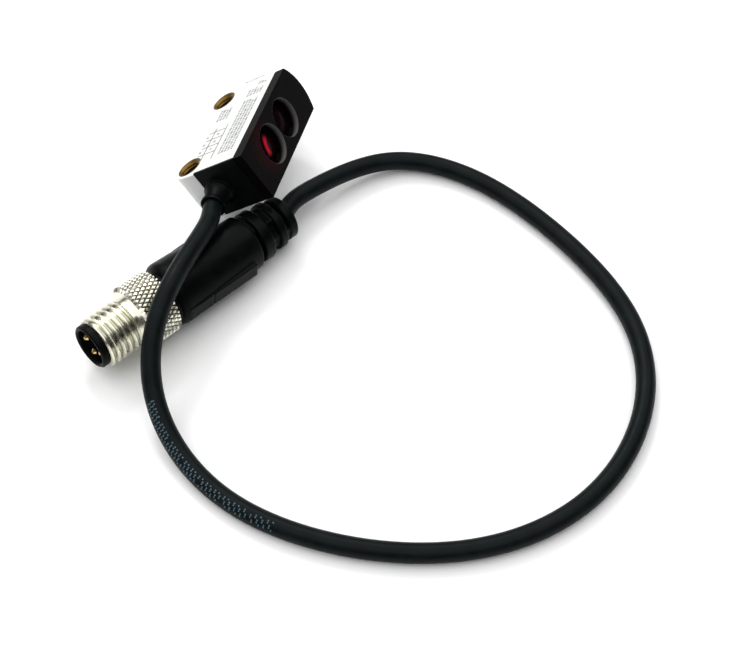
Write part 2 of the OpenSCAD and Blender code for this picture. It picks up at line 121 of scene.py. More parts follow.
class NodeBench:
    """Lays out the nodes of one material, with its pattern space in millimetres."""

    def __init__(self, name: str, place: Place) -> None:
        """Start a material whose pattern follows the place's own axes.

        Args:
            name: The material's name.
            place: The axes that its pattern is laid in.
        """
        material = bpy.data.materials.new(name)
        material.use_nodes = True
        self.tree = material.node_tree
        self.shader = self.tree.nodes["Principled BSDF"]
        coordinates = self.node("ShaderNodeTexCoord")
        mapping = self.node("ShaderNodeMapping")
        mapping.vector_type = "TEXTURE"
        mapping.inputs["Location"].default_value = Vector(place.origin) * MM
        mapping.inputs["Rotation"].default_value = place.turn().to_euler()
        mapping.inputs["Scale"].default_value = (MM, MM, MM)
        self.link(coordinates.outputs["Object"], mapping.inputs["Vector"])
        self.space = mapping.outputs["Vector"]

    def node(self, kind: str) -> bpy.types.ShaderNode:
        """Add one node of a kind."""
        return self.tree.nodes.new(kind)

    def link(self, start: Socket, end: Socket) -> None:
        """Join two sockets."""
        self.tree.links.new(start, end)

    def feed(self, value: Value, socket: Socket) -> None:
        """Link a socket to another, or set it to a number or colour.

        Args:
            value: An output socket, a number or a colour.
            socket: The input that takes it.
        """
        if isinstance(value, Socket):
            self.link(value, socket)
        elif isinstance(value, tuple):
            socket.default_value = (*value, 1.0) if len(socket.default_value) == 4 else value
        else:
            socket.default_value = value

    def put(self, **values: Value) -> None:
        """Set the shader's sockets, their names written with underscores."""
        for name, value in values.items():
            self.feed(value, self.shader.inputs[name.replace("_", " ")])

    def laid_colour(self) -> Socket:
        """Return the socket that gives the shader its colour so far."""
        return self.shader.inputs["Base Color"].links[0].from_socket

    def calc(self, operation: str, *values: Value) -> Socket:
        """Work out a number from others.

        Args:
            operation: The Math node's operation.
            *values: Its inputs, sockets or numbers.

        Returns:
            The result's socket.
        """
        node = self.node("ShaderNodeMath")
        node.operation = operation
        for value, socket in zip(values, node.inputs):
            self.feed(value, socket)
        return node.outputs[0]

    def stretched(self, scale: Point) -> Socket:
        """Scale the pattern space along each axis.

        Args:
            scale: How much it is scaled along x, y and z.

        Returns:
            The scaled space's socket.
        """
        node = self.node("ShaderNodeVectorMath")
        node.operation = "MULTIPLY"
        node.inputs[1].default_value = scale
        self.link(self.space, node.inputs[0])
        return node.outputs[0]

    def grain(self, size: float, detail: float = 3.0, space: Socket | None = None) -> Socket:
        """Make noise whose blotches are a size across.

        Args:
            size: Width of a blotch in millimetres.
            detail: Number of finer layers.
            space: The space it is laid in, or None for the bench's own.

        Returns:
            A socket that runs from 0 to 1.
        """
        node = self.node("ShaderNodeTexNoise")
        node.inputs["Scale"].default_value = 1 / size
        node.inputs["Detail"].default_value = detail
        self.link(space or self.space, node.inputs["Vector"])
        return node.outputs["Fac"]

    def ramp(self, value: Socket, low: float, high: float, start: float = 0.0, end: float = 1.0
             ) -> Socket:
        """Spread a stretch of a value smoothly over another range and hold it there.

        Args:
            value: The socket to spread.
            low: Value that gives start.
            high: Value that gives end, which may be the lesser of the two.
            start: Result at low and before it.
            end: Result at high and past it.

        Returns:
            The result's socket.
        """
        node = self.node("ShaderNodeMapRange")
        node.interpolation_type = "SMOOTHSTEP"
        names = ("From Min", "From Max", "To Min", "To Max")
        for name, part in zip(names, (low, high, start, end)):
            node.inputs[name].default_value = part
        self.link(value, node.inputs["Value"])
        return node.outputs["Result"]

    def blend(self, share: Value, first: Value, second: Value) -> Socket:
        """Mix two colours.

        Args:
            share: How much of the second, a socket or a number.
            first: A colour or its socket.
            second: A colour or its socket.

        Returns:
            The mixed colour's socket.
        """
        node = self.node("ShaderNodeMix")
        node.data_type = "RGBA"
        self.feed(share, node.inputs["Factor"])
        self.feed(first, node.inputs[MIX_A])
        self.feed(second, node.inputs[MIX_B])
        return node.outputs[MIX_RESULT]

    def parts(self) -> list[Socket]:
        """Part the pattern space.

        Returns:
            Its x, y and z as three sockets.
        """
        node = self.node("ShaderNodeSeparateXYZ")
        self.link(self.space, node.inputs[0])
        return list(node.outputs)

    def reach(self, first: int, second: int, centre: Pair) -> Socket:
        """Work out the distance from a line along one axis.

        Args:
            first: Number of the first axis across the line.
            second: Number of the second.
            centre: Where the line stands on those two.

        Returns:
            The distance in millimetres.
        """
        sockets = self.parts()
        squares = []
        for axis, middle in ((first, centre[0]), (second, centre[1])):
            offset = self.calc("SUBTRACT", sockets[axis], middle)
            squares.append(self.calc("MULTIPLY", offset, offset))
        return self.calc("SQRT", self.calc("ADD", *squares))

    def relief(self, height: Socket, depth: float, strength: float = 1.0) -> None:
        """Raise the surface's shading by a height.

        Args:
            height: Socket from 0 to 1.
            depth: Height of 1 in millimetres.
            strength: How much of it shows.
        """
        node = self.node("ShaderNodeBump")
        node.inputs["Distance"].default_value = depth * MM
        node.inputs["Strength"].default_value = strength
        self.link(height, node.inputs["Height"])
        self.link(node.outputs["Normal"], self.shader.inputs["Normal"])


@dataclass(frozen=True)
class Finish:
    """A surface finish: the record's slot that it belongs to and how it is laid."""

    name: str
    slot: str

    def lay(self, bench: NodeBench) -> None:
        """Set the bench's nodes to this finish."""
        raise NotImplementedError

    def material(self, place: Place) -> bpy.types.Material:
        """Make this finish as a material, once for each place.

        Args:
            place: The axes that its pattern follows.

        Returns:
            The material.
        """
        name = f"{self.name}_on_{place.name}"
        if name not in bpy.data.materials:
            self.lay(NodeBench(name, place))
        return bpy.data.materials[name]


@dataclass(frozen=True)
class Plastic(Finish):
    """Injection-moulded plastic: faint mottling, fine spark-eroded grain and soft gloss."""

    tone: Colour
    shade: Colour
    rough: Pair = (0.38, 0.5)
    grain: float = 0.12
    depth: float = 0.004
    mottle: float = 3.0
    gloss: float = 0.5

    def lay(self, bench: NodeBench) -> None:
        """Set nodes to moulded plastic.

        Args:
            bench: The material's nodes.
        """
        patches = bench.grain(self.mottle, detail=4)
        texture = bench.grain(self.grain, detail=2)
        bench.put(
            Base_Color=bench.blend(bench.ramp(patches, *PATCH_SPAN), self.tone, self.shade),
            Roughness=bench.ramp(bench.grain(self.mottle / 2), *NOISE_SPAN, *self.rough),
            Specular_IOR_Level=self.gloss)
        bench.relief(texture, self.depth)


@dataclass(frozen=True)
class CoverPlastic(Plastic):
    """Moulded plastic of the front cover, with painted light: a painted red glow round the lenses,
    and lighter walls in the lens openings near the front that fade to black deeper in.
    """

    painted_wall_light: Colour = (0.1, 0.095, 0.095)
    wall_edge: Pair = (0.06, 0.02)
    painted_red_glow: Colour = (0.012, 0.0015, 0.002)
    painted_glow_at: Pair = (6.3, 4.6)
    painted_glow_reach: Pair = (4.6, 2.4)
    radius: float = 3.05
    front: Pair = (12.3, 13.2)

    def lay(self, bench: NodeBench) -> None:
        """Set nodes to the plastic, its painted red glow and the painted light on the opening
        walls.

        Args:
            bench: The material's nodes.
        """
        super().lay(bench)
        plastic = bench.laid_colour()
        # Painted light: a red glow painted on the cover's face round the lower lens.
        near_glow = bench.ramp(bench.reach(1, 2, self.painted_glow_at), *self.painted_glow_reach)
        face = bench.blend(near_glow, plastic, self.painted_red_glow)
        # Painted light on the opening walls: lighter grey near the front, fading as painted shade
        # to black deeper in.
        nearest = bench.calc("MINIMUM", *(bench.reach(1, 2, (y, LENS_Z)) for y in LENS_Y))
        wall = bench.ramp(nearest, *(self.radius + edge for edge in self.wall_edge))
        share = bench.calc("MULTIPLY", wall, bench.ramp(bench.parts()[0], *self.front))
        bench.put(Base_Color=bench.blend(share, face, self.painted_wall_light))


@dataclass(frozen=True)
class TintedLens(Plastic):
    """Dark lens plate with painted light: a red glow painted as a crescent in the first lens."""

    glow: Colour = (0.5, 0.012, 0.03)
    arc_centre: Pair = (9.12, 3.36)
    arc_r: float = 2.1
    arc_band: Pair = (0.55, 0.1)
    arc_middle: Pair = (7.32, 4.35)
    arc_reach: Pair = (1.9, 0.8)

    def lay(self, bench: NodeBench) -> None:
        """Set nodes to the dark lens and its painted red crescent of light.

        Args:
            bench: The material's nodes.
        """
        super().lay(bench)
        dark = bench.laid_colour()
        # Painted light: a red crescent of glow in the first lens, fading at its ends.
        past_arc = bench.calc("SUBTRACT", bench.reach(1, 2, self.arc_centre), self.arc_r)
        band = bench.ramp(bench.calc("ABSOLUTE", past_arc), *self.arc_band)
        ends = bench.ramp(bench.reach(1, 2, self.arc_middle), *self.arc_reach)
        bench.put(Base_Color=bench.blend(bench.calc("MULTIPLY", band, ends), dark, self.glow))


@dataclass(frozen=True)
class PlatedMetal(Finish):
    """Turned and plated metal with faint tool lines and uneven polish.

    Past groove_start its tone runs from a painted shading colour to the plating's between two
    radii: painted shade darkens the grooves of thread and knurl, and on the brass inserts a lighter
    painted highlight lies on the thread roots and countersinks.
    """

    tone: Colour
    shade: Colour
    rough: Pair = (0.16, 0.3)
    lines: Point = (1.0, 1.0, 12.0)
    line_width: float = 0.6
    line_depth: float = 0.001
    line_strength: float = 0.4
    patch: float = 1.2
    grooves: Pair = (0.0, 0.0)
    painted_groove_shading: Colour = (0.1, 0.09, 0.075)
    groove_start: float = -50.0
    groove_fade: float = 0.1

    def lay(self, bench: NodeBench) -> None:
        """Set nodes to plated metal, with painted light and shade set by radius in its grooves.

        Args:
            bench: The material's nodes.
        """
        cloud = bench.grain(self.patch)
        tool_lines = bench.grain(self.line_width, detail=2, space=bench.stretched(self.lines))
        plating = bench.blend(bench.ramp(cloud, *CLOUD_SPAN), self.tone, self.shade)
        # Painted shading by radius: darker in the nickel's grooves as shade, lighter on the brass
        # inserts' roots and countersinks as a highlight.
        if self.grooves[1]:
            crest = bench.ramp(bench.reach(0, 1, (0, 0)), *self.grooves)
            before = bench.ramp(
                bench.parts()[2], self.groove_start + self.groove_fade, self.groove_start)
            plating = bench.blend(bench.calc("MAXIMUM", crest, before), self.painted_groove_shading, plating)
        bench.put(Metallic=1.0, Base_Color=plating,
                  Roughness=bench.ramp(tool_lines, *NOISE_SPAN, *self.rough))
        bench.relief(tool_lines, self.line_depth, self.line_strength)


WHITE_SHELL = Plastic(
    "white_shell", "white_plastic", (0.84, 0.85, 0.84), (0.8, 0.81, 0.8),
    rough=(0.42, 0.55), grain=0.1, depth=0.003)
GREY_MARKS = Plastic(
    "grey_print", "white_plastic", (0.24, 0.245, 0.225), (0.38, 0.385, 0.36),
    grain=0.2, mottle=0.8)
BLACK_CAP = Plastic(
    "black_cap", "black_plastic", (0.0016, 0.002, 0.002), (0.0026, 0.0032, 0.0032),
    rough=(0.34, 0.44), grain=0.09, depth=0.002, gloss=0.06)
BLACK_RUBBER = Plastic(
    "black_rubber", "black_plastic", (0.001, 0.0018, 0.0017), (0.0018, 0.003, 0.0029),
    rough=(0.32, 0.42), grain=0.14, depth=0.002, gloss=0.06)
# Cover: a painted red glow round the lenses and painted light on the walls of its openings.
BLACK_COVER = CoverPlastic(
    "black_cover", "black_cover", (0.002, 0.0016, 0.0016), (0.0028, 0.002, 0.002),
    rough=(0.25, 0.32), grain=0.1, depth=0.0005, gloss=0.015)
# Lenses: dark, with a painted red crescent of light in the first lens.
LENS_RED = TintedLens(
    "lens_red", "tinted_lens", (0.004, 0.0015, 0.002), (0.006, 0.002, 0.003),
    rough=(0.06, 0.1), grain=0.4, depth=0.0005, gloss=0.01)
JACKET = Plastic(
    "jacket", "cable_black", (0.0022, 0.0042, 0.0046), (0.0038, 0.0066, 0.0074),
    rough=(0.36, 0.48), grain=0.2, depth=0.003, gloss=0.08)
PALE_MARKS = Plastic(
    "pale_blue_print", "cable_black", (0.09, 0.15, 0.19), (0.06, 0.1, 0.13),
    rough=(0.5, 0.6), grain=0.2, depth=0.002, mottle=0.4, gloss=0.2)
# Brass inserts: a lighter painted highlight on the thread roots and countersinks.
BRASS = PlatedMetal(
    "brass", "brass", (0.085, 0.055, 0.016), (0.06, 0.036, 0.009),
    rough=(0.4, 0.55), grooves=(1.45, 1.3), painted_groove_shading=(0.16, 0.095, 0.025))
# Nickel thread: painted shade in the thread roots.
NICKEL = PlatedMetal(
    "nickel", "nickel_plate", (0.84, 0.835, 0.69), (0.74, 0.735, 0.6),
    rough=(0.2, 0.32), grooves=(3.45, 3.75), painted_groove_shading=(0.4, 0.39, 0.31))
# Knurl: painted shade in the knurl's valleys, from the knurl's start on.
KNURLED_NICKEL = PlatedMetal(
    "knurled_nickel", "nickel_plate", (0.88, 0.87, 0.76), (0.8, 0.79, 0.68),
    rough=(0.2, 0.32), grooves=(4.7, 4.86), painted_groove_shading=(0.16, 0.15, 0.11), groove_start=7.95)
GOLD = PlatedMetal("gold", "gold_plate", (0.83, 0.62, 0.25), (0.75, 0.53, 0.2), rough=(0.12, 0.2))
BOARD_LACQUER = Plastic(
    "board_lacquer", "circuit_board", (0.03, 0.16, 0.07), (0.02, 0.11, 0.05))
CHIP_RESIN = Plastic("chip_resin", "chip_black", (0.03, 0.03, 0.033), (0.045, 0.045, 0.048))
LED_RESIN = Plastic(
    "led_resin", "led_clear", (0.75, 0.73, 0.66), (0.68, 0.66, 0.6), rough=(0.08, 0.15))
CERAMIC = Plastic("ceramic_tan", "capacitor_tan", (0.42, 0.3, 0.18), (0.36, 0.25, 0.15))
BROWN_SLEEVE = Plastic(
    "brown_sleeve", "wire_brown", (0.16, 0.07, 0.035), (0.13, 0.055, 0.03))
BLUE_SLEEVE = Plastic("blue_sleeve", "wire_blue", (0.03, 0.11, 0.4), (0.025, 0.09, 0.33))


def added(name: str, data: bpy.types.ID) -> Piece:
    """Add an object that shows some data to the scene.

    Args:
        name: The object's name.
        data: Its mesh, curve, light or camera.

    Returns:
        The object.
    """
    thing = bpy.data.objects.new(name, data)
    bpy.context.scene.collection.objects.link(thing)
    return thing


class Shape:
    """A mesh that is shaped in millimetres in its sub-assembly's own axes."""

    def __init__(self) -> None:
        """Start with nothing."""
        self.bm = bmesh.new()

    @classmethod
    def copied(cls, node: str, place: Place) -> "Shape":
        """Copy a CAD node into its own axes and merge its points.

        Args:
            node: The CAD node's name.
            place: The axes that it was drawn in.

        Returns:
            The shape, its flat faces whole.
        """
        shape = cls()
        shape.bm.from_mesh(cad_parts[node].data)
        bmesh.ops.transform(shape.bm, matrix=place.matrix().inverted(), verts=shape.bm.verts)
        bmesh.ops.remove_doubles(shape.bm, verts=shape.bm.verts, dist=MERGE_COPY)
        bmesh.ops.dissolve_limit(
            shape.bm, angle_limit=FLAT_ANGLE, verts=shape.bm.verts, edges=shape.bm.edges)
        return shape

    def block(self, low: Sequence[float], high: Sequence[float]) -> None:
        """Add a box between its lowest and its highest corner."""
        middle, size = (Vector(low) + Vector(high)) / 2, Vector(high) - Vector(low)
        bmesh.ops.create_cube(self.bm, size=1, matrix=Matrix.LocRotScale(middle, None, size))

    def turn(self, outline: Outline, steps: int = 64, at: Matrix = UNMOVED) -> None:
        """Add a solid of revolution about z.

        Args:
            outline: Points of radius and height, a closed ring or a line between two poles.
            steps: Number of faces round the axis.
            at: Where the solid is put.
        """
        corners = [self.bm.verts.new((radius, 0, height)) for radius, height in outline]
        pairs = list(zip(corners, corners[1:]))
        if outline[0][0] > 0 or outline[-1][0] > 0:
            pairs.append((corners[-1], corners[0]))
        edges = [self.bm.edges.new(pair) for pair in pairs]
        bmesh.ops.spin(
            self.bm, geom=corners + edges, cent=(0, 0, 0), axis=(0, 0, 1),
            angle=math.tau, steps=steps, use_merge=True)
        bmesh.ops.remove_doubles(self.bm, verts=self.settled(at), dist=MERGE_TURNED)

    def settled(self, at: Matrix) -> list[bmesh.types.BMVert]:
        """Put the points that have not been placed yet where they belong.

        Args:
            at: Where they are put.

        Returns:
            The points.
        """
        layers = self.bm.verts.layers.int
        layer = layers.get("placed") or layers.new("placed")
        fresh = [v for v in self.bm.verts if not v[layer]]
        for vert in fresh:
            vert[layer] = 1
        bmesh.ops.transform(self.bm, matrix=at, verts=fresh)
        return fresh

    def soften(self, width: float, segments: int = 2,
               chosen: Callable[[Vector], bool] = lambda p: True, sharp: float = 25) -> None:
        """Round sharp edges.

        Args:
            width: Width of the rounding.
            segments: Number of faces across it.
            chosen: Tells from an edge's middle whether it is rounded.
            sharp: Least angle between its two faces, in degrees.
        """
        self.bm.normal_update()
        edges = [
            e for e in self.bm.edges
            if e.is_manifold and e.calc_face_angle(0) > math.radians(sharp)
            and chosen((e.verts[0].co + e.verts[1].co) / 2)]
        bmesh.ops.bevel(
            self.bm, geom=edges, offset=width, offset_type="OFFSET", segments=segments,
            profile=0.5, affect="EDGES", material=-1, clamp_overlap=True)

    def made(self, name: str, finish: Finish, place: Place, body: Body = Body.SENSOR,
             instead_of: Iterable[str] = (), sharp: float = 40, even: bool = False) -> Piece:
        """Turn the shape into a finished piece in the frame.

        Args:
            name: The piece's name.
            finish: Its surface.
            place: Its sub-assembly's axes.
            body: The body that it rides on.
            instead_of: CAD nodes that it stands for.
            sharp: Angle over which an edge stays sharp in the shading, in degrees.
            even: Whether its flat faces set the shading.

        Returns:
            The piece.
        """
        bmesh.ops.recalc_face_normals(self.bm, faces=self.bm.faces)
        bmesh.ops.transform(self.bm, matrix=place.matrix(), verts=self.bm.verts)
        mesh = bpy.data.meshes.new(name)
        self.bm.to_mesh(mesh)
        self.bm.free()
        mesh.shade_smooth()
        mesh.set_sharp_from_angle(angle=math.radians(sharp))
        piece = added(name, mesh)
        if even:
            piece.modifiers.new("even_shading", "WEIGHTED_NORMAL").keep_sharp = True
        return dress(piece, finish, place, body, instead_of)


@dataclass
class ThreadForm:
    """One pitch of a screw thread, as radii along the axis."""

    pitch: float
    root_r: float
    crest_r: float
    root_flat: float = 0.3
    crest_flat: float = 0.17

    def outline(self) -> list[Pair]:
        """Draw one pitch from the middle of a root to the middle of the next.

        Returns:
            Points of radius and height.
        """
        half_flank = (self.pitch * (1 - self.root_flat) - self.crest_flat) / 4
        middle_r = (self.root_r + self.crest_r) / 2
        steps = (0, self.pitch * self.root_flat / 2, half_flank, half_flank, self.crest_flat,
                 half_flank, half_flank)
        radii = (self.root_r, self.root_r, middle_r, self.crest_r, self.crest_r, middle_r,
                 self.root_r, self.root_r)
        return list(zip(radii, [*accumulate(steps), self.pitch]))


class Threaded(Shape):
    """A shape with a true helix round z."""

    def helix(self, form: ThreadForm, start: float, end: float,
              limit: Callable[[float], float], inward: bool = False, steps: int = 56) -> None:
        """Sweep a thread and cut it square at both ends.

        Args:
            form: The thread's form.
            start: Height of its first end.
            end: Height of its last end.
            limit: Greatest radius at a height, or least for an inward thread.
            inward: Whether the thread lines a bore.
            steps: Number of faces in one turn.
        """
        turns = math.ceil((end - start) / form.pitch) + 2
        corners = [self.bm.verts.new((radius, 0, height)) for radius, height in form.outline()]
        edges = [self.bm.edges.new(pair) for pair in zip(corners, corners[1:])]
        bmesh.ops.spin(
            self.bm, geom=corners + edges, cent=(0, 0, 0), axis=(0, 0, 1),
            angle=math.tau * turns, steps=steps * turns, dvec=(0, 0, form.pitch / steps),
            use_merge=False)
        bmesh.ops.transform(
            self.bm, verts=self.bm.verts, matrix=Matrix.Translation((0, 0, start - form.pitch)))
        bmesh.ops.remove_doubles(self.bm, verts=self.bm.verts, dist=MERGE_HELIX)
        for height, normal in ((start, (0, 0, -1)), (end, (0, 0, 1))):
            bmesh.ops.bisect_plane(
                self.bm, geom=[*self.bm.verts, *self.bm.edges, *self.bm.faces], dist=CUT_SNAP,
                plane_co=(0, 0, height), plane_no=normal, clear_outer=True)
        for vert in self.bm.verts:
            radius = math.hypot(vert.co.x, vert.co.y)
            held = limit(vert.co.z)
            if (radius < held) if inward else (radius > held):
                vert.co.x, vert.co.y = vert.co.x * held / radius, vert.co.y * held / radius

    def wall(self, start: float, end: float, radius: float) -> None:
        """Close the helix with a plain wall on its other side.

        Args:
            start: Height of the first end.
            end: Height of the last end.
            radius: Radius of the plain wall.
        """
        rims = []
        for height in (start, end):
            loop = [e for e in self.bm.edges if e.is_boundary
                    and all(abs(v.co.z - height) < RIM_SNAP for v in e.verts)]
            drawn = bmesh.ops.extrude_edge_only(self.bm, edges=loop)["geom"]
            for vert in (g for g in drawn if isinstance(g, bmesh.types.BMVert)):
                scale = radius / math.hypot(vert.co.x, vert.co.y)
                vert.co = (vert.co.x * scale, vert.co.y * scale, height)
            rims += [g for g in drawn if isinstance(g, bmesh.types.BMEdge)]
        bmesh.ops.bridge_loops(self.bm, edges=rims)


def dress(piece: Piece, finish: Finish, place: Place, body: Body,
          instead_of: Iterable[str] = ()) -> Piece:
    """Give a piece its finish and its body, and hide the CAD nodes that it stands for.

    Args:
        piece: The new piece.
        finish: Its surface.
        place: The axes that its pattern follows.
        body: The body that it rides on.
        instead_of: CAD nodes that it stands for.

    Returns:
        The piece.
    """
    piece.data.materials.clear()
    piece.data.materials.append(finish.material(place))
    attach(piece, body.value)
    if instead_of:
        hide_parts(*instead_of)
    log.info("%s: %s", piece.name, finish.name)
    return piece


def cover_node(node: str, finish: Finish, place: Place) -> None:
    """Give a carried-over CAD node its finish.

    Args:
        node: The node's name.
        finish: Its surface.
        place: The axes that its pattern follows.
    """
    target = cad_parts[node]
    if not target.material_slots:
        target.data.materials.append(None)
    for slot in target.material_slots:
        slot.material = finish.material(place)
    log.info("%s: %s", node, finish.name)


def aim(thing: Piece, at: Point, looks_at: Point) -> None:
    """Put a lamp or camera where it belongs.

    Args:
        thing: The lamp or camera.
        at: Where it stands, in millimetres.
        looks_at: The point that it faces.
    """
    thing.location = Vector(at) * MM
    heading = (Vector(looks_at) - Vector(at)).normalized()
    thing.rotation_euler = heading.to_track_quat("-Z", "Y").to_euler()


@dataclass(frozen=True)
class Lamp:
    """One square lamp: its place, aim and side in millimetres, its power in watts."""

    name: str
    at: Point
    looks_at: Point
    side: float
    power: float

    def hang(self) -> None:
        """Hang the lamp."""
        data = bpy.data.lights.new(self.name, "AREA")
        data.size = self.side * MM
        data.energy = self.power
        aim(added(self.name, data), self.at, self.looks_at)


@dataclass
class Studio:
    """Camera, plain floor and soft lights."""

    camera_at: Point = (59.70, -151.85, 186.64)
    looks_at: Point = (25.70, -20.58, 0.0)
    lens: float = 76.7
    film: float = 36
    clip: Pair = (0.01, 20)
    floor_half: float = 4000.0
    floor_top: float = -0.02
    floor_tone: float = 0.98
    floor_rough: float = 0.9
    floor_gloss: float = 0.1
    glow: float = 0.1
    lamps: tuple[Lamp, ...] = (
        Lamp("sky", (-500, 350, 1000), (-500, 350, 0), 2600, 37.0),
        Lamp("key", (-300, 500, 700), (15, -20, 0), 160, 1.6))

    def camera(self) -> None:
        """Make the camera at the photograph's viewing angle."""
        data = bpy.data.cameras.new("camera")
        data.lens = self.lens
        data.sensor_width = self.film
        data.clip_start, data.clip_end = self.clip
        bpy.context.scene.camera = added("camera", data)
        aim(bpy.context.scene.camera, self.camera_at, self.looks_at)

    def floor(self) -> None:
        """Lay the plain pale floor."""
        bm = bmesh.new()
        bmesh.ops.create_grid(bm, x_segments=1, y_segments=1, size=self.floor_half * MM)
        mesh = bpy.data.meshes.new("floor")
        bm.to_mesh(mesh)
        bm.free()
        floor = added("floor", mesh)
        floor.location.z = self.floor_top * MM
        material = bpy.data.materials.new("floor")
        material.use_nodes = True
        inputs = material.node_tree.nodes["Principled BSDF"].inputs
        inputs["Base Color"].default_value = (*[self.floor_tone] * 3, 1)
        inputs["Roughness"].default_value = self.floor_rough
        inputs["Specular IOR Level"].default_value = self.floor_gloss
        mesh.materials.append(material)

    def lights(self) -> None:
        """Hang the lamps and set the room's glow."""
        for lamp in self.lamps:
            lamp.hang()
        world = bpy.data.worlds.new("room")
        world.use_nodes = True
        inputs = world.node_tree.nodes["Background"].inputs
        inputs["Color"].default_value = (1, 1, 1, 1)
        inputs["Strength"].default_value = self.glow
        bpy.context.scene.world = world
        bpy.context.scene.view_settings.view_transform = "Standard"


@dataclass
class Lead:
    """The jacketed cable from the nipple round to the plug's bend relief.

    Route points without a height lie on the table. The dots' turns are degrees from the top.
    """

    diameter: float = 2.8
    length: float = 207.4
    height: float = 1.45
    nipple_mouth: float = -1.8
    straight: float = -4.6
    relief_end: float = 36.3
    relief_floor: float = 35.0
    order: int = 4
    steps: int = 10
    roundness: int = 8
    dot: Point = (0.2, 0.2, 0.03)
    dot_span: Pair = (5.3, 7.3)
    dot_turns: tuple[float, ...] = (15, 27, 39, 51, 63)
    dot_columns: int = 88
    dot_group: int = 13
    dot_period: int = 5
    dot_phases: tuple[int, ...] = (0, 2)
    look_ahead: float = 0.01
    route: list[tuple[float, ...]] = field(default_factory=lambda: [
        (0.6, -16.8, 10.9), (-0.4, -25, 12.4), (-1.4, -34.5, 12.4), (-1.1, -41.8, 6.1),
        (4.8, -49.4), (16.4, -56.6), (33.5, -58), (50.2, -53.6), (62.3, -42.6),
        (66.8, -26.8), (63, -11.5), (49.8, 0.8), (34.9, 9.5), (22.7, 10.5, 1.7),
        (15.9, 5.5, 2.7), (11.4, -0.5, 3.7), (8.5, -4.7, 4.1)])

    def exit(self) -> Vector:
        """Return the point where the cable leaves the nipple."""
        return ON_HOUSING.point(NIPPLE_X, self.nipple_mouth, NIPPLE_Z)

    def pulls(self) -> list[Vector]:
        """List the points that pull the curve, its two ends held.

        Returns:
            The points in metres.
        """
        points = [self.exit(), ON_HOUSING.point(NIPPLE_X, self.straight, NIPPLE_Z)]
        points += [
            Vector((p[0], p[1], p[2] if len(p) == 3 else self.height)) * MM
            for p in self.route]
        points += [ON_PLUG.point(0, 0, self.relief_end), ON_PLUG.point(0, 0, self.relief_floor)]
        return [2 * points[0] - points[1], *points, 2 * points[-1] - points[-2]]

    def at(self, place: float) -> Vector:
        """Find a point of the cubic curve.

        Args:
            place: Its place along the curve, counted in spans of the pulling points.

        Returns:
            The point in millimetres.
        """
        pulls = self.pulls()
        span = min(int(place), len(pulls) - self.order)
        u = place - span
        shares = (
            (1 - u) ** 3, 3 * u ** 3 - 6 * u ** 2 + 4,
            1 + 3 * u + 3 * u ** 2 - 3 * u ** 3, u ** 3)
        near = zip(pulls[span:span + self.order], shares)
        return sum((pull * share for pull, share in near), Vector()) / 6 / MM

    def has_dot(self, column: int, row: int) -> bool:
        """Tell whether the lattice has a dot at a column and row."""
        between_groups = column % self.dot_group == self.dot_group - 1
        return not between_groups and (column + 2 * row) % self.dot_period in self.dot_phases

    def marks(self) -> Piece:
        """Lay a plain lattice of pale dots along the jacket's upper outer side.

        Returns:
            The dots.
        """
        shape = Shape()
        start, end = self.dot_span
        for column in range(self.dot_columns):
            place = start + (end - start) * column / self.dot_columns
            middle = self.at(place)
            ahead, behind = self.at(place + self.look_ahead), self.at(place - self.look_ahead)
            along = (ahead - behind).normalized()
            upward = (Vector((0, 0, 1)) - along * along.z).normalized()
            outward = along.cross(upward)
            for row, degrees in enumerate(self.dot_turns):
                if not self.has_dot(column, row):
                    continue
                turn = math.radians(degrees)
                normal = upward * math.cos(turn) + outward * math.sin(turn)
                facing = Matrix((along, normal.cross(along), normal)).transposed()
                seat = middle + normal * self.diameter / 2
                bmesh.ops.create_cube(
                    shape.bm, size=1, matrix=Matrix.LocRotScale(seat, facing, Vector(self.dot)))
        return shape.made("cable_marks", PALE_MARKS, ON_TABLE)

    def make(self) -> Piece:
        """Lay the cable as one smooth curve.

        Returns:
            The cable.
        """
        curve = bpy.data.curves.new("cable_jacket", "CURVE")
        curve.dimensions = "3D"
        curve.bevel_depth = self.diameter / 2 * MM
        curve.bevel_resolution = self.roundness
        curve.use_fill_caps = True
        spline = curve.splines.new("NURBS")
        pulls = self.pulls()
        spline.points.add(len(pulls) - 1)
        for point, pull in zip(spline.points, pulls):
            point.co = (*pull, 1)
        spline.order_u = self.order
        spline.use_endpoint_u = False
        spline.resolution_u = self.steps
        return dress(added("cable_jacket", curve), JACKET, ON_TABLE, Body.SENSOR, ["cable"])

    def declare(self, cable: Piece, pieces: Sequence[Piece | str]) -> None:
        """Work out the point where the cable leaves the nipple, and keep nothing of it.

        Args:
            cable: The cable; not used.
            pieces: All that go with it; not used.
        """
        tuple(self.exit())


